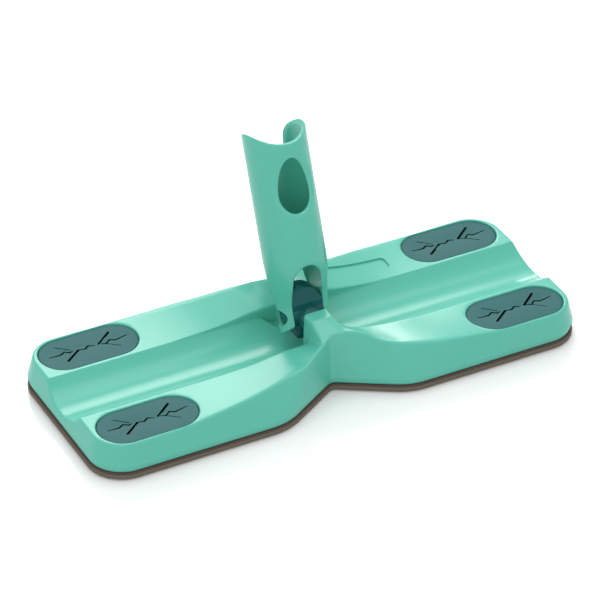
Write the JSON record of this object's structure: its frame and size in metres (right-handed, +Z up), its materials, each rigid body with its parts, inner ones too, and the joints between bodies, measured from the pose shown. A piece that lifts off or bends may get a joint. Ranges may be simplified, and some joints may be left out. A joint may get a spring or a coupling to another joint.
{
  "type": "floor duster head",
  "caption": "Waisted flat floor-duster head with slit rubber cloth grips, a foam sole and an open pole socket on a two-axis joint.",
  "frame": {"origin": "middle of the underside, where the sole rests on the floor", "axes": "+Z up, +X along the plate, +Y towards the edge that the socket leans over"},
  "size_m": [0.26, 0.0988, 0.1146],
  "materials": {
    "mint_shell": "satin moulded",
    "mint_base": "satin moulded",
    "mint_socket": "satin moulded",
    "joint_plastic": "semi-gloss moulded",
    "grip_rubber": "matt",
    "sole_foam": "matt foam",
    "sole_backing": "matt film",
    "pin_steel": "drawn"
  },
  "bodies": {
    "head": {"head_shell": "mint_shell", "base_plate": "mint_base", "sole_backing": "sole_backing", "sole_pad": "sole_foam", "cloth_grip_front_left": "grip_rubber", "cloth_grip_front_right": "grip_rubber", "cloth_grip_rear_left": "grip_rubber", "cloth_grip_rear_right": "grip_rubber", "swing_pin": "pin_steel"},
    "hub": {"joint_hub": "joint_plastic", "tilt_pin_left": "joint_plastic", "tilt_pin_right": "joint_plastic"},
    "socket": {"pole_socket": "mint_socket"}
  },
  "joints": [
    {"name": "socket_swing", "type": "hinge", "parent": "head", "child": "hub", "pos_m": [0, 0, 0.0275], "axis": [0, 1, 0], "range_deg": [-45, 45]},
    {"name": "socket_tilt", "type": "hinge", "parent": "hub", "child": "socket", "pos_m": [0, 0, 0.0275], "axis": [1, 0, 0], "range_deg": [-10, 50]}
  ]
}
